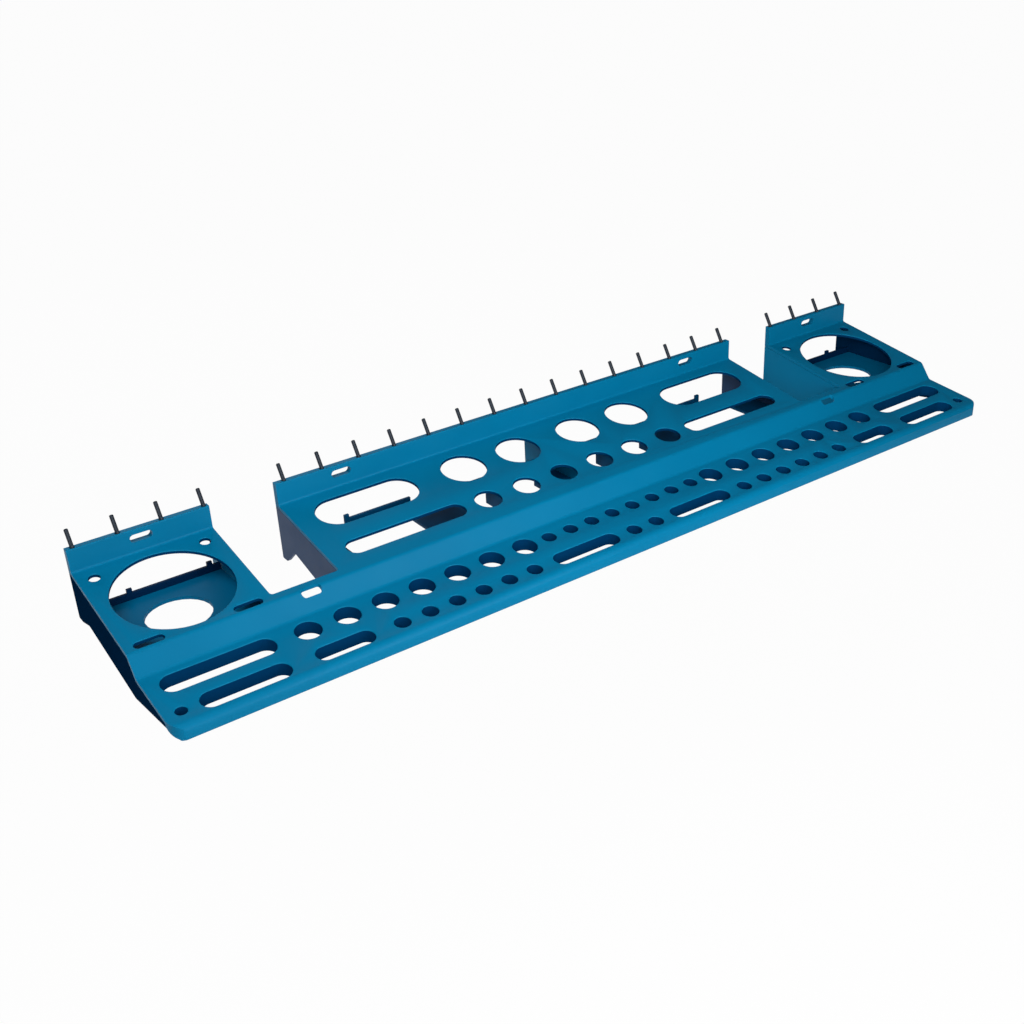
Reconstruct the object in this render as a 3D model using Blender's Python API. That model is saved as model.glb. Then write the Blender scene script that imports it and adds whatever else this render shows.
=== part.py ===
"""Wall rack for hand tools: a stepped deck with two open bays, guide shelves below and pins above.

Metres. +Z is up, X runs along the rack and the front faces -Y. The origin lies on the back face of
the mounting flange, at mid length and at the height of the screw slots.
"""
from math import acos, ceil, cos, pi, radians, sin, tan

import bmesh
import bpy
from mathutils import Vector

# Overall form
LENGTH = 0.608
PROJECTION = 0.132
SKIN = 0.002
FIT = 0.0003
CORNER_RADIUS = 0.009
CHORD_ERROR = 0.00015

# Mounting flange, measured from the screw line
FLANGE_RISE = 0.0053
FLANGE_THICK = 0.004
SHELF_START = 0.0086

# Stepped deck, from the wall to the front
SHELF_DEPTH = 0.080
SHELF_SLOPE = radians(9.9)
RISER_RUN = 0.008
RISER_DROP = 0.0107
TIER_SLOPE = radians(7.5)
LIP_DROP = 0.008
FLANGE_FILLET = 0.0015
STEP_FILLET = 0.0035
LIP_FILLET = 0.005
FILLET_STEPS = 5

# Wings at the ends, and the open bays between them and the centre section
WING_WIDTH = 0.0816
BAY_WIDTH = 0.0412
BAY_DEPTH = 0.0745
BAY_FILLET = 0.002

# Standing pins
PIN_PITCH = 0.025
PIN_DIAMETER = 0.0024
PIN_ROOT = 0.0045
PIN_REACH = 0.0105
PIN_LEAN = radians(31.0)
PIN_BEND = 0.0016
PIN_BEND_STEPS = 3
PIN_TIP_CHAMFER = 0.0004

# Screw slots in the flange; the inner pair is set in from the bays
SCREW_SLOT_LENGTH = 0.013
SCREW_SLOT_HEIGHT = 0.0045
SCREW_INSET = 0.0427

# Openings in the upper shelf, back row; starts run from mid length, insets from a bay's nearer edge
BACK_ROW = 0.0252
HANDLE_HOLE = 0.0288
HANDLE_START = 0.024
HANDLE_PITCH = 0.0416
GRIP_SLOT_START = 0.1004
GRIP_SLOT_INSET = 0.0138
GRIP_SLOT_WIDTH = 0.0265
WING_HOLE = 0.066
WING_HOLE_DEPTH = 0.0427
HANG_HOLE = 0.0065
HANG_ROW = 0.0133
HANG_SPACING = 0.0634

# Openings in the upper shelf, front row
FRONT_ROW = 0.0602
SHANK_HOLE = 0.017
SHANK_START = 0.0144
SHANK_PITCH = 0.0286
BLADE_SLOT_START = 0.0885
BLADE_SLOT_INSET = 0.013
BLADE_SLOT_WIDTH = 0.0132
TAG_SLOT_LENGTH = 0.0165
TAG_SLOT_WIDTH = 0.0052
TAG_SLOT_ROW = 0.0755
TAG_SLOT_SPACING = 0.0546
BAY_SLOT_LENGTH = 0.012
BAY_SLOT_WIDTH = 0.0042
BAY_SLOT_ROW = 0.0806

# Collared openings in the front tier
COLLAR_WALL = 0.0016
COLLAR_DEPTH = 0.0076
TIER_BACK_ROW = 0.099
DRIVER_HOLE = 0.015
DRIVER_START = 0.0736
DRIVER_PITCH = 0.0235
BIT_HOLE = 0.009
BIT_PITCH = 0.016
BIT_COUNT = 8
PLIER_SLOT_INSET = 0.0108
PLIER_SLOT_LENGTH = 0.063
PLIER_SLOT_WIDTH = 0.014
TIER_FRONT_ROW = 0.1203
KEY_HOLE = 0.0095
KEY_START = 0.0824
KEY_PITCH = 0.0175
MIDDLE_KEY = 0.0086
CHISEL_SLOT_START = 0.0213
CHISEL_SLOT_LENGTH = 0.0468
CHISEL_SLOT_WIDTH = 0.0113
SHORT_SLOT_INSET = 0.0058
SHORT_SLOT_LENGTH = 0.0345
WING_SLOT_INSET = 0.0131
WING_SLOT_LENGTH = 0.0493
WING_SLOT_WIDTH = 0.0122
END_HOLE = 0.0065
END_HOLE_INSET = 0.0094

# Gusset walls under the deck: depths below the screw line
FOOT_DEPTH = 0.0447
OUTER_FOOT_DEPTH = 0.0379
FOOT_RUN = 0.006
NOTCH_RUN = 0.018
NOTCH_DEPTH = 0.0342
OUTER_NOTCH_DEPTH = 0.0347
WING_NOTCH_DEPTH = 0.0455
KEEL_RUN = 0.070
OUTER_KEEL_RUN = 0.080
KEEL_DEPTH = 0.049
OUTER_KEEL_DEPTH = 0.0477
BAY_WALL_RUN = 0.089
OUTER_TAPER = 0.0018

# Guide shelves and the ledges that carry them
GUIDE_TOP = 0.0307
GUIDE_THICK = 0.002
GUIDE_BACK = 0.011
GUIDE_FRONT = 0.070
UPSTAND_HEIGHT = 0.004
UPSTAND_THICK = 0.0018
UPSTAND_START = 0.098
UPSTAND_INSET = 0.0372
TAB_WIDTH = 0.003
TAB_HEIGHT = 0.0065
TAB_INSET = 0.0071
TAB_SPACING = 0.047
LEDGE = 0.002
LEDGE_INSET = 0.002
LEDGE_BACK = 0.026
WING_GUIDE_HOLE = 0.0365
WING_GUIDE_HOLE_DEPTH = 0.044
WINDOW_BACK = 0.0265
WINDOW_FRONT = 0.055
WINDOW_FILLET = 0.003
NEAR_WINDOW_START = 0.014
NEAR_WINDOW_END = 0.075
FAR_WINDOW_START = 0.108
FAR_WINDOW_INSET = 0.0237

# Cross ribs that stand on the centre guide shelves
RIB_THICK = 0.002
RIB_STATIONS = (0.025, 0.0618)
RIB_BACK = 0.044
RIB_FRONT = 0.066

# How far a cutter runs past the solid that it cuts
PAST = 0.02

# Places that follow from the sizes above
HALF = LENGTH / 2
BAY_END = HALF - WING_WIDTH
BAY_START = BAY_END - BAY_WIDTH
WING_CENTRE = (BAY_END + HALF) / 2
RISER_FOOT = SHELF_DEPTH + RISER_RUN
CORNER_BACK = PROJECTION - CORNER_RADIUS

BLUE = (0.003, 0.150, 0.330, 1.0)
BLUE_DEEP = (0.003, 0.110, 0.260, 1.0)
PIN_STEEL = (0.060, 0.070, 0.085, 1.0)


def remove_everything():
    """Start from an empty file."""
    for item in list(bpy.data.objects):
        bpy.data.objects.remove(item, do_unlink=True)


def plastic(name, colour):
    """Satin moulded plastic."""
    material = bpy.data.materials.new(name)
    material.use_nodes = True
    shader = material.node_tree.nodes["Principled BSDF"]
    shader.inputs["Base Color"].default_value = colour
    shader.inputs["Roughness"].default_value = 0.38
    material.diffuse_color = colour
    return material


def steel(name, colour):
    """Dark plated steel wire."""
    material = bpy.data.materials.new(name)
    material.use_nodes = True
    shader = material.node_tree.nodes["Principled BSDF"]
    shader.inputs["Base Color"].default_value = colour
    shader.inputs["Roughness"].default_value = 0.32
    shader.inputs["Metallic"].default_value = 0.9
    material.diffuse_color = colour
    return material


# Outlines


def half_turn_steps(radius):
    """Sides of a half circle that stays within the chord error."""
    return max(5, ceil(pi / (2 * acos(1 - CHORD_ERROR / radius))))


def stadium(x, y, length, width):
    """Counter-clockwise outline of a round-ended slot along X; a circle where both sizes agree."""
    radius = width / 2
    reach = max(length / 2 - radius, 0.0)
    steps = half_turn_steps(radius)
    points = []
    for side, start in ((1, -pi / 2), (-1, pi / 2)):
        for step in range(steps + 1):
            angle = start + pi * step / steps
            points.append((x + side * reach + radius * cos(angle), y + radius * sin(angle)))
    if reach == 0.0:
        del points[steps::steps + 1]
    return points


def fillet(corners, radii, closed=False):
    """Round an outline's corners; an open outline keeps its two end points."""
    count = len(corners)
    points = []
    for index, corner in enumerate(corners):
        radius = radii[index]
        is_end = not closed and index in (0, count - 1)
        if is_end or radius <= 0:
            points.append(tuple(corner))
            continue
        here = Vector(corner)
        before = (Vector(corners[index - 1]) - here).normalized()
        after = (Vector(corners[(index + 1) % count]) - here).normalized()
        half_angle = before.angle(after) / 2
        centre = here + (before + after).normalized() * (radius / sin(half_angle))
        start = here + before * (radius / tan(half_angle)) - centre
        end = here + after * (radius / tan(half_angle)) - centre
        sweep = start.angle_signed(end)
        for step in range(FILLET_STEPS + 1):
            turn = -sweep * step / FILLET_STEPS
            spoke = Vector((start.x * cos(turn) - start.y * sin(turn), start.x * sin(turn) + start.y * cos(turn)))
            points.append(tuple(centre + spoke))
    return points


def deck_corners():
    """Sharp corners of the deck's upper face as (y, z), from the flange's top to the lip's foot."""
    shelf_end = -SHELF_START - (SHELF_DEPTH - FLANGE_THICK) * tan(SHELF_SLOPE)
    tier_start = shelf_end - RISER_DROP
    tier_end = tier_start - (PROJECTION - RISER_FOOT) * tan(TIER_SLOPE)
    return [
        (-FLANGE_THICK, FLANGE_RISE),
        (-FLANGE_THICK, -SHELF_START),
        (-SHELF_DEPTH, shelf_end),
        (-RISER_FOOT, tier_start),
        (-PROJECTION, tier_end),
        (-PROJECTION, tier_end - LIP_DROP),
    ]


def inset_corners(extra=0.0):
    """Corners of the deck's under face, moved further in by extra."""
    corners = [Vector(corner) for corner in deck_corners()]
    depths = [FLANGE_THICK] + [SKIN] * (len(corners) - 2)
    lines = []
    for start, end, depth in zip(corners, corners[1:], depths):
        along = (end - start).normalized()
        inward = Vector((-along.y, along.x))
        lines.append((start + inward * (depth + extra), along))
    inner = [lines[0][0]]
    for (point_a, along_a), (point_b, along_b) in zip(lines, lines[1:]):
        across = Vector((-along_b.y, along_b.x))
        travel = (point_b - point_a).dot(across) / along_a.dot(across)
        inner.append(point_a + along_a * travel)
    last_point, last_along = lines[-1]
    inner.append(last_point + last_along * (corners[-1] - corners[-2]).length)
    return [tuple(point) for point in inner]


def under_face(extra=0.0):
    """Rounded under face of the deck as (y, z), with fillets that keep the skin even."""
    radii = [0, FIT, STEP_FILLET - SKIN, STEP_FILLET + SKIN, LIP_FILLET - SKIN, 0]
    return fillet(inset_corners(extra), radii)


def deck_profile():
    """Closed (y, z) section of the deck."""
    radii = [0, FLANGE_FILLET, STEP_FILLET, STEP_FILLET, LIP_FILLET, 0]
    upper = fillet(deck_corners(), radii)
    return upper + under_face()[::-1]


def height_on(path, y):
    """Height of an open (y, z) path that runs towards the front, at one y."""
    for (y_a, z_a), (y_b, z_b) in zip(path, path[1:]):
        if y_b <= y <= y_a and y_a != y_b:
            return z_a + (z_b - z_a) * (y - y_a) / (y_b - y_a)
    return path[-1][1]


def path_between(path, y_back, y_front):
    """The stretch of a path between two y values, with its ends cut square."""
    kept = [point for point in path if y_front < point[0] < y_back]
    return [(y_back, height_on(path, y_back))] + kept + [(y_front, height_on(path, y_front))]


def tier_height(y):
    """Upper face of the front tier as one plane."""
    corners = deck_corners()
    return corners[3][1] + (y + RISER_FOOT) * tan(TIER_SLOPE)


# Solids


def add_prism(bm, outline, low, high):
    """Vertical prism over an (x, y) outline; low and high give its heights at a y."""
    bottom = [bm.verts.new((x, y, low(y))) for x, y in outline]
    top = [bm.verts.new((x, y, high(y))) for x, y in outline]
    bm.faces.new(bottom[::-1])
    bm.faces.new(top)
    for index in range(len(outline)):
        following = (index + 1) % len(outline)
        bm.faces.new((bottom[index], bottom[following], top[following], top[index]))


def add_slab(bm, outline, x_low, x_high):
    """Prism along X over a (y, z) outline."""
    near = [bm.verts.new((x_low, y, z)) for y, z in outline]
    far = [bm.verts.new((x_high, y, z)) for y, z in outline]
    bm.faces.new(near[::-1])
    bm.faces.new(far)
    for index in range(len(outline)):
        following = (index + 1) % len(outline)
        bm.faces.new((near[index], near[following], far[following], far[index]))


def box_outline(low, high):
    """Four corners of a rectangle between two (a, b) corners."""
    return [(low[0], low[1]), (high[0], low[1]), (high[0], high[1]), (low[0], high[1])]


def finish_mesh(bm, name, material=None, smooth=False):
    """Turn a bmesh into an object with outward faces."""
    bmesh.ops.recalc_face_normals(bm, faces=bm.faces)
    mesh = bpy.data.meshes.new(name)
    bm.to_mesh(mesh)
    bm.free()
    if smooth:
        mesh.shade_smooth()
        mesh.set_sharp_from_angle(angle=radians(30))
    if material:
        mesh.materials.append(material)
    item = bpy.data.objects.new(name, mesh)
    bpy.context.scene.collection.objects.link(item)
    return item


def as_cutter(item):
    """Keep a helper out of the model."""
    item.hide_render = True
    item.display_type = "WIRE"
    return item


def combine(item, helper, operation):
    """Join, cut or clip a solid with a helper."""
    modifier = item.modifiers.new(operation.title() + "_" + helper.name, "BOOLEAN")
    modifier.operation = operation
    modifier.solver = "EXACT"
    modifier.object = as_cutter(helper)


# Where the openings are


def mirrored(x, *rest):
    """The same place on both halves of the rack."""
    return [(side * x, *rest) for side in (1, -1)]


def slot_between(start, end, y, width):
    """Round-ended slot between two x values, on both halves of the rack."""
    return mirrored((start + end) / 2, y, end - start, width)


def row_between(start, pitch, end, y, hole):
    """Round holes from start in even steps, as many as keep their collars clear of end."""
    room = end - start - hole / 2 - 2 * COLLAR_WALL
    places = []
    for step in range(int(room / pitch) + 1):
        places += mirrored(start + pitch * step, y, hole, hole)
    return places


def shelf_openings():
    """Plain openings of the upper shelf as (x, y, length, width)."""
    places = []
    for step in range(2):
        places += mirrored(HANDLE_START + HANDLE_PITCH * step, -BACK_ROW, HANDLE_HOLE, HANDLE_HOLE)
    for step in range(3):
        places += mirrored(SHANK_START + SHANK_PITCH * step, -FRONT_ROW, SHANK_HOLE, SHANK_HOLE)
    places += slot_between(GRIP_SLOT_START, BAY_START - GRIP_SLOT_INSET, -BACK_ROW, GRIP_SLOT_WIDTH)
    places += slot_between(BLADE_SLOT_START, BAY_START - BLADE_SLOT_INSET, -FRONT_ROW, BLADE_SLOT_WIDTH)
    places += mirrored(WING_CENTRE, -WING_HOLE_DEPTH, WING_HOLE, WING_HOLE)
    for side in (-0.5, 0.5):
        places += mirrored(WING_CENTRE + side * HANG_SPACING, -HANG_ROW, HANG_HOLE, HANG_HOLE)
        tag = WING_CENTRE + side * TAG_SLOT_SPACING
        places += mirrored(tag, -TAG_SLOT_ROW, TAG_SLOT_LENGTH, TAG_SLOT_WIDTH)
    places += mirrored(BAY_START + BAY_WIDTH / 2, -BAY_SLOT_ROW, BAY_SLOT_LENGTH, BAY_SLOT_WIDTH)
    return places


def tier_openings():
    """Collared openings of the front tier as (x, y, length, width)."""
    plier = BAY_END + PLIER_SLOT_INSET
    short = BAY_START + SHORT_SLOT_INSET
    wing = BAY_END + WING_SLOT_INSET
    places = row_between(DRIVER_START, DRIVER_PITCH, plier, -TIER_BACK_ROW, DRIVER_HOLE)
    for step in range(BIT_COUNT):
        x = BIT_PITCH * (step - (BIT_COUNT - 1) / 2)
        places.append((x, -TIER_BACK_ROW, BIT_HOLE, BIT_HOLE))
    places += slot_between(plier, plier + PLIER_SLOT_LENGTH, -TIER_BACK_ROW, PLIER_SLOT_WIDTH)
    places += row_between(KEY_START, KEY_PITCH, short, -TIER_FRONT_ROW, KEY_HOLE)
    places += mirrored(MIDDLE_KEY, -TIER_FRONT_ROW, KEY_HOLE, KEY_HOLE)
    chisel = CHISEL_SLOT_START
    places += slot_between(chisel, chisel + CHISEL_SLOT_LENGTH, -TIER_FRONT_ROW, CHISEL_SLOT_WIDTH)
    places += slot_between(short, short + SHORT_SLOT_LENGTH, -TIER_FRONT_ROW, CHISEL_SLOT_WIDTH)
    places += slot_between(wing, wing + WING_SLOT_LENGTH, -TIER_FRONT_ROW, WING_SLOT_WIDTH)
    places += mirrored(HALF - END_HOLE_INSET, -TIER_FRONT_ROW, END_HOLE, END_HOLE)
    return places


def pin_places():
    """X of each pin: an even pitch about the middle, with none where a bay is open."""
    reach = int((HALF - PIN_DIAMETER) / PIN_PITCH)
    margin = PIN_DIAMETER / 2 + 2 * FIT
    places = []
    for step in range(-reach, reach + 1):
        x = step * PIN_PITCH
        if not BAY_START - margin < abs(x) < BAY_END + margin:
            places.append(x)
    return places


def screw_places():
    """X of each screw slot: two in the centre section and one in each wing."""
    return [x for x, in mirrored(BAY_START - SCREW_INSET) + mirrored(WING_CENTRE)]


# Sub-parts


def plan_outline():
    """The deck seen from above: round front corners and two open bays at the back."""
    back = PAST
    corners = [(HALF, back), (BAY_END, back), (BAY_END, -BAY_DEPTH), (BAY_START, -BAY_DEPTH), (BAY_START, back)]
    corners += [(-x, y) for x, y in corners[::-1]]
    corners += [(-HALF, -PROJECTION), (HALF, -PROJECTION)]
    radii = [0, 0, BAY_FILLET, BAY_FILLET, 0]
    radii += radii[::-1] + [CORNER_RADIUS, CORNER_RADIUS]
    return fillet(corners, radii, closed=True)


def corner_outline():
    """Closed (y, z) outline of the solid corner that joins the lip to an end wall."""
    middle = under_face(-SKIN / 2)
    top = path_between(middle, -CORNER_BACK, middle[-1][0])
    foot = height_on(under_face(), -CORNER_BACK) - OUTER_TAPER
    return top[:-1] + [middle[-1], (-CORNER_BACK, foot)]


def make_deck(material):
    """The long stepped moulding that carries everything."""
    bm = bmesh.new()
    add_slab(bm, deck_profile(), -HALF - PAST, HALF + PAST)
    deck = finish_mesh(bm, "deck", material, smooth=True)

    bm = bmesh.new()
    for side in (1, -1):
        low, high = sorted((side * (HALF - CORNER_RADIUS), side * (HALF + PAST)))
        add_slab(bm, corner_outline(), low, high)
    combine(deck, finish_mesh(bm, "cutter_corners"), "UNION")

    bm = bmesh.new()
    for x, y, length, width in tier_openings():
        outline = stadium(x, y, length + 2 * COLLAR_WALL, width + 2 * COLLAR_WALL)
        add_prism(bm, outline, lambda v: tier_height(v) - COLLAR_DEPTH, lambda v: tier_height(v) - SKIN / 2)
    combine(deck, finish_mesh(bm, "cutter_collars"), "UNION")

    bm = bmesh.new()
    add_prism(bm, plan_outline(), lambda v: -PROJECTION, lambda v: PROJECTION)
    combine(deck, finish_mesh(bm, "cutter_plan"), "INTERSECT")

    bm = bmesh.new()
    for x, y, length, width in shelf_openings() + tier_openings():
        add_prism(bm, stadium(x, y, length, width), lambda v: -PROJECTION, lambda v: PAST)
    for x in screw_places():
        outline = stadium(x, 0.0, SCREW_SLOT_LENGTH, SCREW_SLOT_HEIGHT)
        front = [bm.verts.new((px, -FLANGE_THICK - FIT, pz)) for px, pz in outline]
        back = [bm.verts.new((px, PAST, pz)) for px, pz in outline]
        bm.faces.new(front)
        bm.faces.new(back[::-1])
        for index in range(len(outline)):
            following = (index + 1) % len(outline)
            bm.faces.new((front[index], back[index], back[following], front[following]))
    bore = PIN_DIAMETER + 2 * FIT
    for x in pin_places():
        outline = stadium(x, -FLANGE_THICK / 2, bore, bore)
        add_prism(bm, outline, lambda v: FLANGE_RISE - PIN_ROOT - FIT, lambda v: FLANGE_RISE + PAST)
    combine(deck, finish_mesh(bm, "cutter_openings"), "DIFFERENCE")
    return deck


def wall_outline(front, keel, foot_depth, notch_depth):
    """Closed (y, z) outline of a gusset wall that ends at y = -front."""
    top = path_between(under_face(FIT), -FIT, -front)
    foot_top = top[0][1]
    low_front = top[-1][1] - OUTER_TAPER
    bottom = [
        (-front, low_front),
        keel,
        (-NOTCH_RUN, -notch_depth),
        (-FOOT_RUN, -foot_depth),
        (0.0, -foot_depth),
        (0.0, foot_top),
    ]
    radii = [0, 0.004, 0.004, 0.003, 0.001, 0]
    return top[1:] + fillet(bottom, radii)


def make_wall(name, material, x_low, x_high, shape, ledge_sides):
    """One gusset wall, with a ledge on each side that carries a guide shelf."""
    bm = bmesh.new()
    add_slab(bm, wall_outline(*shape), x_low, x_high)
    wall = finish_mesh(bm, name, material)
    top = -GUIDE_TOP - GUIDE_THICK - FIT
    outline = box_outline((-GUIDE_FRONT + LEDGE_INSET, top - LEDGE), (-LEDGE_BACK, top))
    bm = bmesh.new()
    middle = (x_low + x_high) / 2
    reach = (x_high - x_low) / 2 + LEDGE
    low = middle - reach if -1 in ledge_sides else middle
    high = middle + reach if 1 in ledge_sides else middle
    add_slab(bm, outline, low, high)
    combine(wall, finish_mesh(bm, "cutter_ledge_" + name), "UNION")
    return wall


def make_walls(material):
    """Seven gusset walls: two outer ends, both sides of each bay, and the middle."""
    inner = (BAY_WALL_RUN, (-KEEL_RUN, -KEEL_DEPTH), FOOT_DEPTH, NOTCH_DEPTH)
    outer_keel = (-OUTER_KEEL_RUN, -OUTER_KEEL_DEPTH)
    outer = (CORNER_BACK - FIT, outer_keel, OUTER_FOOT_DEPTH, OUTER_NOTCH_DEPTH)
    wing = (BAY_WALL_RUN, (-KEEL_RUN, -KEEL_DEPTH), FOOT_DEPTH, WING_NOTCH_DEPTH)
    make_wall("middle_gusset", material, -SKIN / 2, SKIN / 2, inner, (-1, 1))
    for side, hand in ((-1, "left"), (1, "right")):
        stations = (
            ("end_wall_" + hand, HALF - SKIN, outer, -1),
            ("wing_bay_wall_" + hand, BAY_END, wing, 1),
            ("centre_bay_wall_" + hand, BAY_START - SKIN, inner, -1),
        )
        for name, start, shape, inward in stations:
            x_low, x_high = sorted((side * start, side * (start + SKIN)))
            make_wall(name, material, x_low, x_high, shape, (side * inward,))


def add_upstand(guide, number, ends, height):
    """Raise one stretch of a guide shelf's back edge."""
    bm = bmesh.new()
    strip = box_outline((ends[0], -GUIDE_BACK - UPSTAND_THICK), (ends[1], -GUIDE_BACK))
    add_prism(bm, strip, lambda v: -GUIDE_TOP - GUIDE_THICK / 2, lambda v: height - GUIDE_TOP)
    combine(guide, finish_mesh(bm, "cutter_upstand_%d_%s" % (number, guide.name)), "UNION")


def make_guide(name, material, x_low, x_high, upstands, openings):
    """One flat guide shelf with upstands along its back edge."""
    bm = bmesh.new()
    plate = box_outline((x_low, -GUIDE_FRONT), (x_high, -GUIDE_BACK))
    add_prism(bm, plate, lambda v: -GUIDE_TOP - GUIDE_THICK, lambda v: -GUIDE_TOP)
    guide = finish_mesh(bm, name, material)
    for number, (ends, height) in enumerate(upstands, start=1):
        add_upstand(guide, number, ends, height)
    bm = bmesh.new()
    for outline in openings:
        add_prism(bm, outline, lambda v: -GUIDE_TOP - PAST, lambda v: PAST)
    combine(guide, finish_mesh(bm, "cutter_windows_" + name), "DIFFERENCE")
    return guide


def window(x_low, x_high):
    """Rounded rectangular opening of a guide shelf."""
    corners = box_outline((x_low, -WINDOW_FRONT), (x_high, -WINDOW_BACK))
    return fillet(corners, [WINDOW_FILLET] * 4, closed=True)


def make_guides(material):
    """Four guide shelves, each carried between two walls."""
    for side, hand in ((-1, "left"), (1, "right")):
        low, high = sorted((side * (BAY_END + SKIN + FIT), side * (HALF - SKIN - FIT)))
        upstands = [((low, high), UPSTAND_HEIGHT)]
        for start in (BAY_END + TAB_INSET, BAY_END + TAB_INSET + TAB_SPACING):
            upstands.append((sorted((side * start, side * (start + TAB_WIDTH))), TAB_HEIGHT))
        hole = stadium(side * WING_CENTRE, -WING_GUIDE_HOLE_DEPTH, WING_GUIDE_HOLE, WING_GUIDE_HOLE)
        make_guide("wing_guide_" + hand, material, low, high, upstands, [hole])

        low, high = sorted((side * (SKIN / 2 + FIT), side * (BAY_START - SKIN - FIT)))
        outer = BAY_START - UPSTAND_INSET
        strip = sorted((side * UPSTAND_START, side * outer))
        nub = sorted((side * (outer - TAB_WIDTH), side * outer))
        windows = []
        far_window = (FAR_WINDOW_START, BAY_START - FAR_WINDOW_INSET)
        for start, end in ((NEAR_WINDOW_START, NEAR_WINDOW_END), far_window):
            windows.append(window(*sorted((side * start, side * end))))
        upstands = [(strip, UPSTAND_HEIGHT), (nub, TAB_HEIGHT)]
        make_guide("centre_guide_" + hand, material, low, high, upstands, windows)


def make_ribs(material):
    """Thin ribs that stand on the centre guide shelves and reach the deck."""
    floor = -GUIDE_TOP + FIT
    top = path_between(under_face(FIT), -RIB_BACK, -RIB_FRONT)
    outline = top + [(-RIB_FRONT, floor), (-RIB_BACK, floor)]
    for number, station in enumerate(RIB_STATIONS, start=1):
        for side, hand in ((-1, "left"), (1, "right")):
            bm = bmesh.new()
            add_slab(bm, outline, side * station - RIB_THICK / 2, side * station + RIB_THICK / 2)
            finish_mesh(bm, "guide_rib_%s_%d" % (hand, number), material)


def pin_curve(material):
    """One bent pin about its root: straight in the flange, then leaning back."""
    path = [(0.0, -PIN_ROOT), (0.0, 0.0)]
    for step in range(1, PIN_BEND_STEPS + 1):
        angle = PIN_LEAN * step / PIN_BEND_STEPS
        path.append((PIN_BEND * (1 - cos(angle)), PIN_BEND * sin(angle)))
    y_bend, z_bend = path[-1]
    for reach in (PIN_REACH - PIN_TIP_CHAMFER, PIN_REACH):
        travel = reach - PIN_BEND * PIN_LEAN
        path.append((y_bend + travel * sin(PIN_LEAN), z_bend + travel * cos(PIN_LEAN)))
    curve = bpy.data.curves.new("pin", "CURVE")
    curve.dimensions = "3D"
    curve.bevel_depth = PIN_DIAMETER / 2
    curve.bevel_resolution = 2
    curve.use_fill_caps = True
    spline = curve.splines.new("POLY")
    spline.points.add(len(path) - 1)
    for point, (y, z) in zip(spline.points, path):
        point.co = (0.0, y, z, 1.0)
        point.radius = 1.0
    spline.points[len(path) - 1].radius = 1 - 2 * PIN_TIP_CHAMFER / PIN_DIAMETER
    curve.materials.append(material)
    return curve


def make_pins(material):
    """One pin in each bore along the flange's top edge."""
    curve = pin_curve(material)
    for number, x in enumerate(pin_places(), start=1):
        pin = bpy.data.objects.new("pin_%02d" % number, curve)
        pin.location = (x, -FLANGE_THICK / 2, FLANGE_RISE)
        bpy.context.scene.collection.objects.link(pin)


def main():
    remove_everything()
    make_deck(plastic("deck_blue", BLUE))
    make_walls(plastic("wall_blue", BLUE))
    make_guides(plastic("guide_blue", BLUE_DEEP))
    make_ribs(plastic("rib_blue", BLUE_DEEP))
    make_pins(steel("pin_steel", PIN_STEEL))


main()
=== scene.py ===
"""Looks of the wall tool rack: satin blue moulding with rounded rims, dark wire pins, soft studio light."""

from math import acos, ceil, cos, pi, radians, sin, tan

import bmesh
import bpy
from mathutils import Matrix, Vector


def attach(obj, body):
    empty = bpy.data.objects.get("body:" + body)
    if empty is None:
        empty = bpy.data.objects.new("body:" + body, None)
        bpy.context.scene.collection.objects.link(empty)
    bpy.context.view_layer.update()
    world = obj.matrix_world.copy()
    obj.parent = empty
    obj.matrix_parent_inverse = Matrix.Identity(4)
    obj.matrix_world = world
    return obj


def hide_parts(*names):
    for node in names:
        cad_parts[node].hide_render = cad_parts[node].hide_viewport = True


# Overall form, in metres
HALF = 0.304
PROJECTION = 0.132
SKIN = 0.002
FIT = 0.0003
CORNER_RADIUS = 0.009
CHORD_ERROR = 0.00003
FLANGE_RISE = 0.0053
FLANGE_THICK = 0.004
SHELF_START = 0.0086
SHELF_DEPTH = 0.080
SHELF_SLOPE = radians(9.9)
RISER_FOOT = 0.088
RISER_DROP = 0.0107
TIER_SLOPE = radians(7.5)
LIP_DROP = 0.008
FLANGE_TOP_ROUND = 0.0006
FLANGE_FILLET = 0.0015
STEP_FILLET = 0.0035
LIP_FILLET = 0.005
LIP_FOOT_ROUND = 0.0007
FILLET_STEPS = 9
BAY_START = 0.1812
BAY_END = 0.2224
BAY_DEPTH = 0.0745
BAY_FILLET = 0.002
WING_CENTRE = (BAY_END + HALF) / 2
RIM = 0.0005
RIM_STEPS = 4
RIM_LIFT = 0.00001
COLLAR_WALL = 0.0016
COLLAR_DEPTH = 0.0076
CORNER_FOOT = 0.0018
PAST = 0.02
SHARP_ANGLE = radians(30.0)

# Rows of openings, as distances from the wall
HANG_ROW = -0.0133
HANDLE_ROW = -0.0252
WING_ROW = -0.0427
SHANK_ROW = -0.0602
TAG_ROW = -0.0755
BAY_SLOT_ROW = -0.0806
DRIVER_ROW = -0.099
KEY_ROW = -0.1203

# Bores of the round holes
HANDLE_HOLE = 0.0288
SHANK_HOLE = 0.017
WING_HOLE = 0.066
DRIVER_HOLE = 0.015
BIT_HOLE = 0.009
KEY_HOLE = 0.0095
SMALL_HOLE = 0.0065

# Places of what repeats on the right half
HANDLE_PLACES = (0.024, 0.0656)
SHANK_PLACES = (0.0144, 0.043, 0.0716)
HANG_OFFSET = 0.0317
TAG_OFFSET = 0.0273
DRIVER_START = 0.0736
DRIVER_PITCH = 0.0235
DRIVER_COUNT = 7
BIT_START = 0.008
BIT_PITCH = 0.016
BIT_COUNT = 4
KEY_START = 0.0824
KEY_PITCH = 0.0175
KEY_COUNT = 6
MIDDLE_KEY = 0.0086
END_KEY = 0.2946

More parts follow.
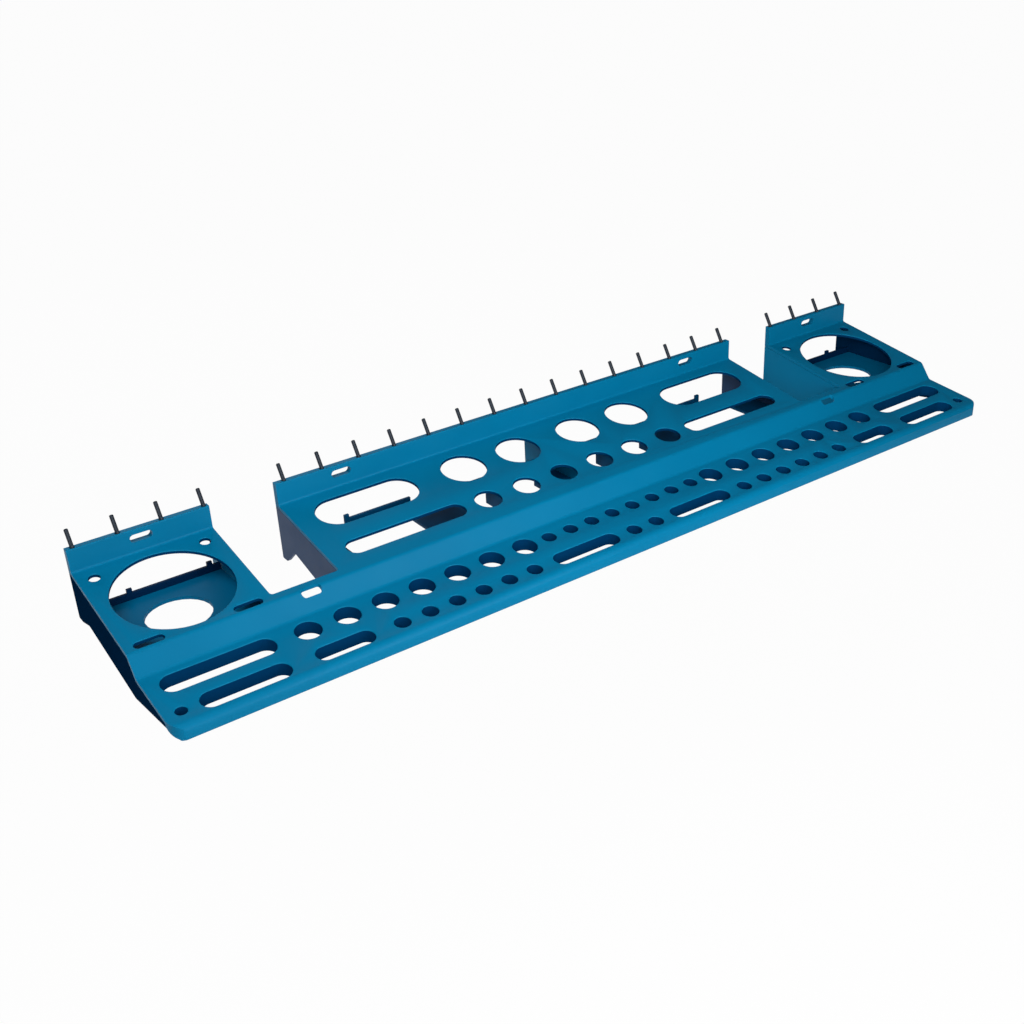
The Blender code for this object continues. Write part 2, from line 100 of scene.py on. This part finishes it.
# Slots of the right half as middle and length along X, then width
GRIP_SLOT = (0.1339, 0.067, 0.0265)
BLADE_SLOT = (0.12835, 0.0797, 0.0132)
TAG_SLOT = (0.0165, 0.0052)
BAY_SLOT = ((BAY_START + BAY_END) / 2, 0.012, 0.0042)
PLIER_SLOT = (0.2647, 0.063, 0.014)
CHISEL_SLOT = (0.0447, 0.0468, 0.0113)
SHORT_SLOT = (0.20425, 0.0345, 0.0113)
WING_SLOT = (0.26015, 0.0493, 0.0122)
SCREW_SLOTS = (0.1385, WING_CENTRE)
SCREW_SLOT_LENGTH = 0.013
SCREW_SLOT_HEIGHT = 0.0045

# Shaded band along the back edge of the wings' guides
BAND_EDGE = -0.0129
BAND_BLEND = 0.0006

# Pins
PIN_PITCH = 0.025
PIN_STEPS = 12
PIN_BAY_GAP = 0.0018
PIN_DIAMETER = 0.0024
PIN_ROOT = 0.0045
PIN_REACH = 0.0105
PIN_LEAN = radians(31.0)
PIN_BEND = 0.0016
PIN_BEND_STEPS = 8
PIN_TIP = 0.0007
PIN_TIP_STEPS = 6

# Camera, solved from the photograph
FOCAL_PIXELS = 1263.1
FRAME_PIXELS = 1024
SENSOR = 36.0
YAW = radians(34.343)
PITCH = radians(26.966)
ROLL = radians(-2.973)
EYE = Vector((-0.4425, -0.6274, 0.3111 + FLANGE_RISE))

# Room
FLOOR_HEIGHT = -0.30
FLOOR_RADIUS = 30.0
FLOOR_SIDES = 64
FLOOR_GLOW = 0.97
FLOOR_GREY = (0.8, 0.8, 0.8, 1.0)
BACKDROP = (1.0, 1.0, 1.0, 1.0)
FILL = 0.10

# Lamps as name, place, target, side length and watts
LAMPS = [
    ("front_left", (-0.72, -0.76, 0.40), (-0.08, -0.06, -0.02), 0.5, 2.2),
    ("low_front", (-0.12, -0.70, 0.06), (-0.02, -0.06, -0.02), 0.5, 1.9),
    ("near_left", (-0.5, -0.25, 0.6), (-0.3, -0.06, -0.02), 0.4, 2.6),
    ("near_mid", (0.02, -0.42, 0.15), (0.02, -0.09, -0.03), 0.3, 1.0),
    ("back_fill", (0.3, 1.3, 0.6), (0.0, -0.02, -0.03), 0.8, 2.0),
]

# Plastics as the darker and the lighter colour of their cloudiness, then how much they mirror
BLUE = ((0.0, 0.150, 0.298, 1.0), (0.0, 0.164, 0.322, 1.0), 0.07)
# Painted shade: the blue plastic darkened for the centre guides and guide ribs, which sit in shade under the
# deck
UNDER_DECK_SHADE_BLUE = ((0.0006, 0.060, 0.150, 1.0), (0.0008, 0.070, 0.170, 1.0), 0.04)
# Painted shade: the blue plastic darkened a little for the wings' guides, which sit in shade under the deck
WING_GUIDE_SHADE_BLUE = ((0.0, 0.112, 0.240, 1.0), (0.0, 0.124, 0.262, 1.0), 0.04)
# Painted shade: the blue plastic darkened almost to black-blue for the end walls, whose faces stand in shade
END_WALL_SHADE_BLUE = ((0.0005, 0.018, 0.058, 1.0), (0.0007, 0.022, 0.068, 1.0), 0.0)
# Painted shade: the blue plastic darkened for the inner walls of the openings, which stand in shade
OPENING_WALL_SHADE_BLUE = ((0.0004, 0.028, 0.092, 1.0), (0.0006, 0.034, 0.104, 1.0), 0.0)
# Painted shade and painted reflection: a greyer, darker blue for the centre bays' walls, standing for pale
# surroundings mirrored on a shaded face
BAY_WALL_SHADE_REFLECTION_BLUE = ((0.026, 0.060, 0.135, 1.0), (0.032, 0.068, 0.150, 1.0), 0.06)
SHADED_BLUE = (0.0006, 0.018, 0.062, 1.0)
PLASTIC_ROUGHNESS = (0.36, 0.46)
CLOUD_SCALE = 14.0
GLOSS_SCALE = 60.0
GRAIN_SCALE = 2600.0
GRAIN_DEPTH = 0.00005
GRAIN_STRENGTH = 0.25

# Wire of the pins
WIRE_DARK = (0.010, 0.016, 0.026, 1.0)
WIRE_LIGHT = (0.030, 0.040, 0.055, 1.0)
WIRE_ROUGHNESS = (0.38, 0.55)
WIRE_METALLIC = 0.6
WIRE_SCALE = 700.0


# Outlines


def half_turn_steps(radius):
    """Sides of a half circle that stays within the chord error."""
    return max(8, ceil(pi / (2 * acos(1 - CHORD_ERROR / radius))))


def stadium(x, y, length, width, grow=0.0):
    """Counter-clockwise outline of a round-ended slot along X, made larger all round by grow."""
    steps = half_turn_steps(width / 2)
    radius = width / 2 + grow
    reach = max((length - width) / 2, 0.0)
    points = []
    for side, start in ((1, -pi / 2), (-1, pi / 2)):
        for step in range(steps + 1):
            angle = start + pi * step / steps
            points.append((x + side * reach + radius * cos(angle), y + radius * sin(angle)))
    if reach == 0.0:
        del points[steps::steps + 1]
    return points


def fillet(corners, radii, closed=False):
    """Round an outline's corners; an open outline keeps its two end points."""
    count = len(corners)
    points = []
    for index, corner in enumerate(corners):
        radius = radii[index]
        is_end = not closed and index in (0, count - 1)
        if is_end or radius <= 0:
            points.append(tuple(corner))
            continue
        here = Vector(corner)
        before = (Vector(corners[index - 1]) - here).normalized()
        after = (Vector(corners[(index + 1) % count]) - here).normalized()
        half_angle = before.angle(after) / 2
        centre = here + (before + after).normalized() * (radius / sin(half_angle))
        start = here + before * (radius / tan(half_angle)) - centre
        end = here + after * (radius / tan(half_angle)) - centre
        sweep = start.angle_signed(end)
        for step in range(FILLET_STEPS + 1):
            turn = -sweep * step / FILLET_STEPS
            x = start.x * cos(turn) - start.y * sin(turn)
            y = start.x * sin(turn) + start.y * cos(turn)
            points.append((centre.x + x, centre.y + y))
    return points


def deck_corners():
    """Sharp corners of the deck's upper face as (y, z), from the flange's top to the lip's foot."""
    shelf_end = -SHELF_START - (SHELF_DEPTH - FLANGE_THICK) * tan(SHELF_SLOPE)
    tier_start = shelf_end - RISER_DROP
    tier_end = tier_start - (PROJECTION - RISER_FOOT) * tan(TIER_SLOPE)
    return [
        (-FLANGE_THICK, FLANGE_RISE),
        (-FLANGE_THICK, -SHELF_START),
        (-SHELF_DEPTH, shelf_end),
        (-RISER_FOOT, tier_start),
        (-PROJECTION, tier_end),
        (-PROJECTION, tier_end - LIP_DROP),
    ]


def inset_corners(extra=0.0):
    """Corners of the deck's under face, moved further in by extra."""
    corners = [Vector(corner) for corner in deck_corners()]
    depths = [FLANGE_THICK] + [SKIN] * (len(corners) - 2)
    lines = []
    for start, end, depth in zip(corners, corners[1:], depths):
        along = (end - start).normalized()
        inward = Vector((-along.y, along.x))
        lines.append((start + inward * (depth + extra), along))
    inner = [lines[0][0]]
    for (point_a, along_a), (point_b, along_b) in zip(lines, lines[1:]):
        across = Vector((-along_b.y, along_b.x))
        travel = (point_b - point_a).dot(across) / along_a.dot(across)
        inner.append(point_a + along_a * travel)
    last_point, last_along = lines[-1]
    inner.append(last_point + last_along * (corners[-1] - corners[-2]).length)
    return [tuple(point) for point in inner]


def under_face(extra=0.0):
    """Rounded under face of the deck as (y, z)."""
    radii = [0, FIT, STEP_FILLET - SKIN, STEP_FILLET + SKIN, LIP_FILLET - SKIN, 0]
    return fillet(inset_corners(extra), radii)


def deck_profile():
    """Closed (y, z) section of the deck, with the flange's top and the lip's foot rounded."""
    outer = deck_corners()
    inner = inset_corners()
    corners = outer + inner[::-1]
    radii = [FLANGE_TOP_ROUND, FLANGE_FILLET, STEP_FILLET, STEP_FILLET, LIP_FILLET, LIP_FOOT_ROUND]
    radii += [LIP_FOOT_ROUND, LIP_FILLET - SKIN, STEP_FILLET + SKIN, STEP_FILLET - SKIN, FIT, 0]
    return fillet(corners, radii, closed=True)


def height_on(path, y):
    """Height of an open (y, z) path that runs towards the front, at one y."""
    for (y_a, z_a), (y_b, z_b) in zip(path, path[1:]):
        if y_b <= y <= y_a and y_a != y_b:
            return z_a + (z_b - z_a) * (y - y_a) / (y_b - y_a)
    return path[-1][1]


def path_between(path, y_back, y_front):
    """The stretch of a path between two y values, with its ends cut square."""
    kept = [point for point in path if y_front < point[0] < y_back]
    return [(y_back, height_on(path, y_back))] + kept + [(y_front, height_on(path, y_front))]


def shelf_height(y):
    """Upper face of the shelf as one plane."""
    return deck_corners()[1][1] + (y + FLANGE_THICK) * tan(SHELF_SLOPE)


def tier_height(y):
    """Upper face of the front tier as one plane."""
    return deck_corners()[3][1] + (y + RISER_FOOT) * tan(TIER_SLOPE)


def shelf_openings():
    """Openings of the right half's shelf as (x, y, length, width)."""
    places = [(x, HANDLE_ROW, HANDLE_HOLE, HANDLE_HOLE) for x in HANDLE_PLACES]
    places += [(x, SHANK_ROW, SHANK_HOLE, SHANK_HOLE) for x in SHANK_PLACES]
    for row, (x, length, width) in ((HANDLE_ROW, GRIP_SLOT), (SHANK_ROW, BLADE_SLOT)):
        places.append((x, row, length, width))
    places.append((WING_CENTRE, WING_ROW, WING_HOLE, WING_HOLE))
    for side in (-1, 1):
        places.append((WING_CENTRE + side * HANG_OFFSET, HANG_ROW, SMALL_HOLE, SMALL_HOLE))
        places.append((WING_CENTRE + side * TAG_OFFSET, TAG_ROW, *TAG_SLOT))
    return places


def tier_openings():
    """Openings of the right half's front tier as (x, y, length, width)."""
    rows = [
        (DRIVER_START, DRIVER_PITCH, DRIVER_COUNT, DRIVER_ROW, DRIVER_HOLE),
        (BIT_START, BIT_PITCH, BIT_COUNT, DRIVER_ROW, BIT_HOLE),
        (KEY_START, KEY_PITCH, KEY_COUNT, KEY_ROW, KEY_HOLE),
    ]
    places = []
    for start, pitch, count, row, hole in rows:
        places += [(start + pitch * step, row, hole, hole) for step in range(count)]
    places.append((MIDDLE_KEY, KEY_ROW, KEY_HOLE, KEY_HOLE))
    places.append((END_KEY, KEY_ROW, SMALL_HOLE, SMALL_HOLE))
    slots = [(DRIVER_ROW, PLIER_SLOT), (KEY_ROW, CHISEL_SLOT), (KEY_ROW, SHORT_SLOT), (KEY_ROW, WING_SLOT)]
    return places + [(x, row, length, width) for row, (x, length, width) in slots]


def mirrored(places):
    """Each place and its mirror image on the other half."""
    return [(side * x, *rest) for x, *rest in places for side in (1, -1)]


# Solids


def loft(bm, rings, shade_layers=0):
    """Closed solid through a stack of rings with equal counts; its first layers take the second material,
    used as painted shade on the walls of openings.
    """
    loops = [[bm.verts.new(point) for point in ring] for ring in rings]
    bm.faces.new(loops[0][::-1])
    bm.faces.new(loops[-1])
    count = len(loops[0])
    for layer, (low, high) in enumerate(zip(loops, loops[1:])):
        for index in range(count):
            following = (index + 1) % count
            face = bm.faces.new((low[index], low[following], high[following], high[index]))
            face.material_index = 1 if layer < shade_layers else 0


def prism(bm, outline, low, high):
    """Vertical prism over an (x, y) outline; low and high give its heights at a y."""
    loft(bm, [[(x, y, low(y)) for x, y in outline], [(x, y, high(y)) for x, y in outline]])


def slab(bm, outline, x_low, x_high):
    """Prism along X over a (y, z) outline."""
    loft(bm, [[(x_low, y, z) for y, z in outline], [(x_high, y, z) for y, z in outline]])


def rimmed(bm, place, surface, bottom):
    """Cutter of one opening whose upper rim comes out rounded; its straight wall takes the second material,
    as painted shade.
    """
    x, y, length, width = place
    levels = [(RIM, PAST), (RIM, RIM_LIFT)]
    for step in range(1, RIM_STEPS + 1):
        angle = pi / 2 * step / RIM_STEPS
        levels.append((RIM * (1 - sin(angle)), RIM * (cos(angle) - 1)))
    rings = []
    for grow, rise in levels:
        rings.append([(px, py, surface(py) + rise) for px, py in stadium(x, y, length, width, grow)])
    rings.append([(px, py, bottom) for px, py in stadium(x, y, length, width)])
    loft(bm, rings[::-1], shade_layers=1)


def finish_mesh(bm, name, *materials):
    """Turn a bmesh into an object with outward faces."""
    bmesh.ops.recalc_face_normals(bm, faces=bm.faces)
    mesh = bpy.data.meshes.new(name)
    bm.to_mesh(mesh)
    bm.free()
    for material in materials:
        mesh.materials.append(material)
    item = bpy.data.objects.new(name, mesh)
    bpy.context.scene.collection.objects.link(item)
    return item


def combine(item, helper, operation):
    """Join, cut or clip a solid with a helper, and drop the helper."""
    modifier = item.modifiers.new("form", "BOOLEAN")
    modifier.operation = operation
    modifier.solver = "EXACT"
    modifier.object = helper
    graph = bpy.context.evaluated_depsgraph_get()
    mesh = bpy.data.meshes.new_from_object(item.evaluated_get(graph))
    item.modifiers.clear()
    item.data = mesh
    bpy.data.objects.remove(helper, do_unlink=True)


# Pieces


def plan_outline():
    """The deck seen from above: round front corners and two open bays at the back."""
    corners = [(HALF, PAST), (BAY_END, PAST), (BAY_END, -BAY_DEPTH)]
    corners += [(BAY_START, -BAY_DEPTH), (BAY_START, PAST)]
    corners += [(-x, y) for x, y in corners[::-1]]
    corners += [(-HALF, -PROJECTION), (HALF, -PROJECTION)]
    radii = [0, 0, BAY_FILLET, BAY_FILLET, 0]
    radii += radii[::-1] + [CORNER_RADIUS, CORNER_RADIUS]
    return fillet(corners, radii, closed=True)


def corner_outline():
    """Closed (y, z) outline of the solid corner that joins the lip to an end wall."""
    back = CORNER_RADIUS - PROJECTION
    middle = under_face(-SKIN / 2)
    top = path_between(middle, back, middle[-1][0])
    foot = height_on(under_face(), back) - CORNER_FOOT
    return top[:-1] + [middle[-1], (back, foot)]


def pin_places():
    """X of each pin: an even pitch about the middle, with none over a bay."""
    places = [step * PIN_PITCH for step in range(-PIN_STEPS, PIN_STEPS + 1)]
    return [x for x in places if not BAY_START - PIN_BAY_GAP < abs(x) < BAY_END + PIN_BAY_GAP]


def make_deck(material, opening_shade):
    """The long stepped moulding; the walls of its openings take the second material, the blue darkened as
    painted shade.
    """
    bm = bmesh.new()
    slab(bm, deck_profile(), -HALF - PAST, HALF + PAST)
    deck = finish_mesh(bm, "deck_moulding", material, opening_shade)

    bm = bmesh.new()
    for side in (1, -1):
        low, high = sorted((side * (HALF - CORNER_RADIUS), side * (HALF + PAST)))
        slab(bm, corner_outline(), low, high)
    combine(deck, finish_mesh(bm, "corners", material, opening_shade), "UNION")

    bm = bmesh.new()
    for x, y, length, width in mirrored(tier_openings()):
        outline = stadium(x, y, length, width, COLLAR_WALL)
        prism(bm, outline, lambda v: tier_height(v) - COLLAR_DEPTH, lambda v: tier_height(v) - SKIN / 2)
    combine(deck, finish_mesh(bm, "collars", material, opening_shade), "UNION")

    bm = bmesh.new()
    prism(bm, plan_outline(), lambda v: -PROJECTION, lambda v: PROJECTION)
    combine(deck, finish_mesh(bm, "plan", material, opening_shade), "INTERSECT")

    bm = bmesh.new()
    for place in mirrored(shelf_openings()):
        rimmed(bm, place, shelf_height, -PROJECTION)
    for place in mirrored(tier_openings()):
        rimmed(bm, place, tier_height, -PROJECTION)
    for x, length, width in mirrored([BAY_SLOT]):
        prism(bm, stadium(x, BAY_SLOT_ROW, length, width), lambda v: -PROJECTION, lambda v: PAST)
    for x, in mirrored([(x,) for x in SCREW_SLOTS]):
        outline = stadium(x, 0.0, SCREW_SLOT_LENGTH, SCREW_SLOT_HEIGHT)
        loft(bm, [[(px, y, pz) for px, pz in outline] for y in (PAST, -FLANGE_THICK - FIT)])
    drill = PIN_DIAMETER + 2 * FIT
    for x in pin_places():
        outline = stadium(x, -FLANGE_THICK / 2, drill, drill)
        prism(bm, outline, lambda v: FLANGE_RISE - PIN_ROOT - FIT, lambda v: FLANGE_RISE + PAST)
    combine(deck, finish_mesh(bm, "openings", material, opening_shade), "DIFFERENCE")
    deck.data.shade_smooth()
    deck.data.set_sharp_from_angle(angle=SHARP_ANGLE)
    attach(deck, "root")
    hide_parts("deck")


def pin_mesh(material):
    """One bent pin about its root, with a rounded tip."""
    path = [(0.0, -PIN_ROOT), (0.0, 0.0)]
    for step in range(1, PIN_BEND_STEPS + 1):
        angle = PIN_LEAN * step / PIN_BEND_STEPS
        path.append((PIN_BEND * (1 - cos(angle)), PIN_BEND * sin(angle)))
    y_bend, z_bend = path[-1]
    radii = [1.0] * len(path)
    straight = PIN_REACH - PIN_BEND * PIN_LEAN - PIN_TIP
    for step in range(PIN_TIP_STEPS):
        angle = pi / 2 * step / PIN_TIP_STEPS
        travel = straight + PIN_TIP * sin(angle)
        path.append((y_bend + travel * sin(PIN_LEAN), z_bend + travel * cos(PIN_LEAN)))
        radii.append(1 - (1 - cos(angle)) * 2 * PIN_TIP / PIN_DIAMETER)
    curve = bpy.data.curves.new("pin_path", "CURVE")
    curve.dimensions = "3D"
    curve.bevel_depth = PIN_DIAMETER / 2
    curve.bevel_resolution = 6
    curve.use_fill_caps = True
    spline = curve.splines.new("POLY")
    spline.points.add(len(path) - 1)
    for point, (y, z), radius in zip(spline.points, path, radii):
        point.co = (0.0, y, z, 1.0)
        point.radius = radius
    holder = bpy.data.objects.new("pin_path", curve)
    bpy.context.scene.collection.objects.link(holder)
    graph = bpy.context.evaluated_depsgraph_get()
    mesh = bpy.data.meshes.new_from_object(holder.evaluated_get(graph))
    bpy.data.objects.remove(holder, do_unlink=True)
    mesh.materials.clear()
    mesh.materials.append(material)
    mesh.shade_smooth()
    mesh.set_sharp_from_angle(angle=radians(40))
    return mesh


def make_pins(material):
    """One pin in each drilled hole along the flange's top edge."""
    mesh = pin_mesh(material)
    for number, x in enumerate(pin_places(), start=1):
        pin = bpy.data.objects.new("wire_pin_%02d" % number, mesh)
        pin.location = (x, -FLANGE_THICK / 2, FLANGE_RISE)
        bpy.context.scene.collection.objects.link(pin)
        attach(pin, "root")
        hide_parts("pin_%02d" % number)


# Materials


def node(tree, kind, place, **values):
    """Add one shader node and set its properties."""
    item = tree.nodes.new(kind)
    item.location = place
    for name, value in values.items():
        setattr(item, name, value)
    return item


def noise(tree, place, vector, scale, detail=2.0):
    """Noise texture in object space, in cycles per metre."""
    item = node(tree, "ShaderNodeTexNoise", place)
    item.inputs["Scale"].default_value = scale
    item.inputs["Detail"].default_value = detail
    tree.links.new(vector, item.inputs["Vector"])
    return item.outputs["Fac"]


def ramp(tree, place, value, low, high):
    """Map a 0 to 1 value onto a range."""
    item = node(tree, "ShaderNodeMapRange", place)
    item.inputs["From Min"].default_value = 0.3
    item.inputs["From Max"].default_value = 0.7
    item.inputs["To Min"].default_value = low
    item.inputs["To Max"].default_value = high
    tree.links.new(value, item.inputs["Value"])
    return item.outputs["Result"]


def colour_sockets(sockets):
    """The sockets of a node that carry a colour."""
    return [socket for socket in sockets if socket.type == "RGBA"]


def mix(tree, place, factor, first, second):
    """Blend two fixed colours by a value."""
    item = node(tree, "ShaderNodeMix", place, data_type="RGBA")
    for socket, colour in zip(colour_sockets(item.inputs), (first, second)):
        socket.default_value = colour
    tree.links.new(factor, item.inputs["Factor"])
    return colour_sockets(item.outputs)[0]


def plastic(name, dark, light, specular):
    """Satin moulded plastic: faint cloudiness, fine moulded grain and uneven gloss."""
    material = bpy.data.materials.new(name)
    material.use_nodes = True
    tree = material.node_tree
    shader = tree.nodes["Principled BSDF"]
    place = node(tree, "ShaderNodeTexCoord", (-1200, 0)).outputs["Object"]
    cloud = noise(tree, (-900, 200), place, CLOUD_SCALE, 3.0)
    gloss = noise(tree, (-900, -100), place, GLOSS_SCALE, 4.0)
    grain = noise(tree, (-900, -400), place, GRAIN_SCALE, 2.0)
    factor = ramp(tree, (-650, 200), cloud, 0.0, 1.0)
    tree.links.new(mix(tree, (-400, 200), factor, dark, light), shader.inputs["Base Color"])
    tree.links.new(ramp(tree, (-650, -100), gloss, *PLASTIC_ROUGHNESS), shader.inputs["Roughness"])
    bump = node(tree, "ShaderNodeBump", (-400, -400))
    bump.inputs["Strength"].default_value = GRAIN_STRENGTH
    bump.inputs["Distance"].default_value = GRAIN_DEPTH
    tree.links.new(grain, bump.inputs["Height"])
    tree.links.new(bump.outputs["Normal"], shader.inputs["Normal"])
    shader.inputs["Specular IOR Level"].default_value = specular
    return material


def banded(material, edge, colour):
    """Darken a plastic behind a line along the rack, where a guide's upstand stands in the shade."""
    tree = material.node_tree
    shader = tree.nodes["Principled BSDF"]
    plain = shader.inputs["Base Color"].links[0].from_socket
    place = node(tree, "ShaderNodeNewGeometry", (-900, 500)).outputs["Position"]
    split = node(tree, "ShaderNodeSeparateXYZ", (-700, 500))
    tree.links.new(place, split.inputs[0])
    share = node(tree, "ShaderNodeMapRange", (-500, 500))
    share.inputs["From Min"].default_value = edge - BAND_BLEND
    share.inputs["From Max"].default_value = edge
    tree.links.new(split.outputs["Y"], share.inputs["Value"])
    blend = node(tree, "ShaderNodeMix", (-200, 300), data_type="RGBA")
    tree.links.new(share.outputs["Result"], blend.inputs["Factor"])
    plain_socket, band_socket = colour_sockets(blend.inputs)
    tree.links.new(plain, plain_socket)
    band_socket.default_value = colour
    tree.links.new(colour_sockets(blend.outputs)[0], shader.inputs["Base Color"])


def wire(name):
    """Dark drawn and blackened steel wire."""
    material = bpy.data.materials.new(name)
    material.use_nodes = True
    tree = material.node_tree
    shader = tree.nodes["Principled BSDF"]
    place = node(tree, "ShaderNodeTexCoord", (-1200, 0)).outputs["Object"]
    patches = noise(tree, (-900, 200), place, WIRE_SCALE, 3.0)
    factor = ramp(tree, (-650, 200), patches, 0.0, 1.0)
    tree.links.new(mix(tree, (-400, 200), factor, WIRE_DARK, WIRE_LIGHT), shader.inputs["Base Color"])
    tree.links.new(ramp(tree, (-650, -100), patches, *WIRE_ROUGHNESS), shader.inputs["Roughness"])
    shader.inputs["Metallic"].default_value = WIRE_METALLIC
    return material


def pale(name, share):
    """Floor that looks nearly white to the camera and still keeps a faint shadow."""
    material = bpy.data.materials.new(name)
    material.use_nodes = True
    tree = material.node_tree
    tree.nodes.clear()
    output = node(tree, "ShaderNodeOutputMaterial", (600, 0))
    diffuse = node(tree, "ShaderNodeBsdfDiffuse", (0, -100))
    diffuse.inputs["Color"].default_value = FLOOR_GREY
    glow = node(tree, "ShaderNodeEmission", (0, 100))
    glow.inputs["Color"].default_value = BACKDROP
    light_path = node(tree, "ShaderNodeLightPath", (-600, 300))
    seen = node(tree, "ShaderNodeMath", (-400, 300), operation="MAXIMUM")
    tree.links.new(light_path.outputs["Is Camera Ray"], seen.inputs[0])
    tree.links.new(light_path.outputs["Is Glossy Ray"], seen.inputs[1])
    also = node(tree, "ShaderNodeMath", (-200, 300), operation="MAXIMUM")
    tree.links.new(seen.outputs[0], also.inputs[0])
    tree.links.new(light_path.outputs["Is Transmission Ray"], also.inputs[1])
    part = node(tree, "ShaderNodeMath", (0, 300), operation="MULTIPLY")
    part.inputs[1].default_value = share
    tree.links.new(also.outputs[0], part.inputs[0])
    blend = node(tree, "ShaderNodeMixShader", (300, 0))
    tree.links.new(part.outputs[0], blend.inputs[0])
    tree.links.new(diffuse.outputs[0], blend.inputs[1])
    tree.links.new(glow.outputs[0], blend.inputs[2])
    tree.links.new(blend.outputs[0], output.inputs["Surface"])
    return material


# Studio


def make_floor():
    """A wide pale floor well below the rack."""
    bm = bmesh.new()
    rim = []
    for step in range(FLOOR_SIDES):
        angle = 2 * pi * step / FLOOR_SIDES
        rim.append(bm.verts.new((FLOOR_RADIUS * cos(angle), FLOOR_RADIUS * sin(angle), FLOOR_HEIGHT)))
    bm.faces.new(rim)
    floor = finish_mesh(bm, "studio_floor", pale("floor_white", FLOOR_GLOW))


def make_world(strength):
    """Even fill light, seen as the pale backdrop."""
    world = bpy.data.worlds.new("studio_world")
    bpy.context.scene.world = world
    world.use_nodes = True
    tree = world.node_tree
    tree.nodes.clear()
    output = node(tree, "ShaderNodeOutputWorld", (600, 0))
    fill = node(tree, "ShaderNodeBackground", (0, -100))
    fill.inputs["Color"].default_value = (1.0, 1.0, 1.0, 1.0)
    fill.inputs["Strength"].default_value = strength
    seen = node(tree, "ShaderNodeBackground", (0, 100))
    seen.inputs["Color"].default_value = BACKDROP
    light_path = node(tree, "ShaderNodeLightPath", (-600, 300))
    either = node(tree, "ShaderNodeMath", (-400, 300), operation="MAXIMUM")
    tree.links.new(light_path.outputs["Is Camera Ray"], either.inputs[0])
    tree.links.new(light_path.outputs["Is Transmission Ray"], either.inputs[1])
    blend = node(tree, "ShaderNodeMixShader", (300, 0))
    tree.links.new(either.outputs[0], blend.inputs[0])
    tree.links.new(fill.outputs[0], blend.inputs[1])
    tree.links.new(seen.outputs[0], blend.inputs[2])
    tree.links.new(blend.outputs[0], output.inputs["Surface"])


def softbox(name, place, target, size, power):
    """Square area lamp that looks at a target."""
    data = bpy.data.lights.new(name, "AREA")
    data.shape = "SQUARE"
    data.size = size
    data.energy = power
    lamp = bpy.data.objects.new(name, data)
    lamp.location = place
    lamp.rotation_euler = (Vector(target) - Vector(place)).to_track_quat("-Z", "Y").to_euler()
    bpy.context.scene.collection.objects.link(lamp)


def make_camera():
    """The photograph's camera."""
    forward = Vector((sin(YAW) * cos(PITCH), cos(YAW) * cos(PITCH), -sin(PITCH)))
    right = Vector((cos(YAW), -sin(YAW), 0))
    up = right.cross(forward)
    right_rolled = right * cos(ROLL) + up * sin(ROLL)
    up_rolled = up * cos(ROLL) - right * sin(ROLL)
    data = bpy.data.cameras.new("camera")
    data.sensor_width = SENSOR
    data.lens = FOCAL_PIXELS * SENSOR / FRAME_PIXELS
    data.clip_end = 100.0
    data.clip_start = 0.01
    camera = bpy.data.objects.new("camera", data)
    matrix = Matrix((right_rolled, up_rolled, -forward)).transposed().to_4x4()
    matrix.translation = EYE
    camera.matrix_world = matrix
    bpy.context.scene.collection.objects.link(camera)
    bpy.context.scene.camera = camera


def dress_nodes(nodes, materials):
    """Give the carried-over pieces their procedural materials."""
    for name, item in nodes.items():
        for start, material in materials:
            if name.startswith(start):
                item.data.materials.clear()
                item.data.materials.append(material)
                break


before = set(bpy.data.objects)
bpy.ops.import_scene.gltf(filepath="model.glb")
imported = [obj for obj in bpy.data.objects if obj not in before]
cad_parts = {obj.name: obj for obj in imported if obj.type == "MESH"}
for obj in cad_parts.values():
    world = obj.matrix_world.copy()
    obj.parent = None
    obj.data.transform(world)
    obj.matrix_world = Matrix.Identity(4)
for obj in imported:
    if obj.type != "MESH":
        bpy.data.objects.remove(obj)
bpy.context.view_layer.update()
make_camera()
blue = plastic("blue_plastic", *BLUE)
under_deck_shade = plastic("under_deck_painted_shade_plastic", *UNDER_DECK_SHADE_BLUE)
wing_guide_shade = plastic("wing_guide_painted_shade_plastic", *WING_GUIDE_SHADE_BLUE)
banded(wing_guide_shade, BAND_EDGE, SHADED_BLUE)
end_wall_shade = plastic("end_wall_painted_shade_plastic", *END_WALL_SHADE_BLUE)
opening_shade = plastic("opening_wall_painted_shade_plastic", *OPENING_WALL_SHADE_BLUE)
bay_wall_shade_reflection = plastic("bay_wall_painted_shade_reflection_plastic", *BAY_WALL_SHADE_REFLECTION_BLUE)
make_deck(blue, opening_shade)
make_pins(wire("pin_wire"))
dress_nodes(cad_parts, [
    # End walls take the painted shade
    ("end_wall", end_wall_shade),
    # Centre bay walls take the painted shade and painted reflection
    ("centre_bay_wall", bay_wall_shade_reflection),
    ("wing_bay_wall", blue),
    ("middle", blue),
    # Wing guides take the lighter painted shade, with the darker painted shade band at their back edge
    ("wing_guide", wing_guide_shade),
    # Centre guides and ribs take the painted shade from under the deck
    ("centre_guide", under_deck_shade),
    ("guide_rib", under_deck_shade),
])
make_floor()
make_world(FILL)
for lamp in LAMPS:
    softbox(*lamp)
bpy.context.scene.view_settings.view_transform = "Standard"
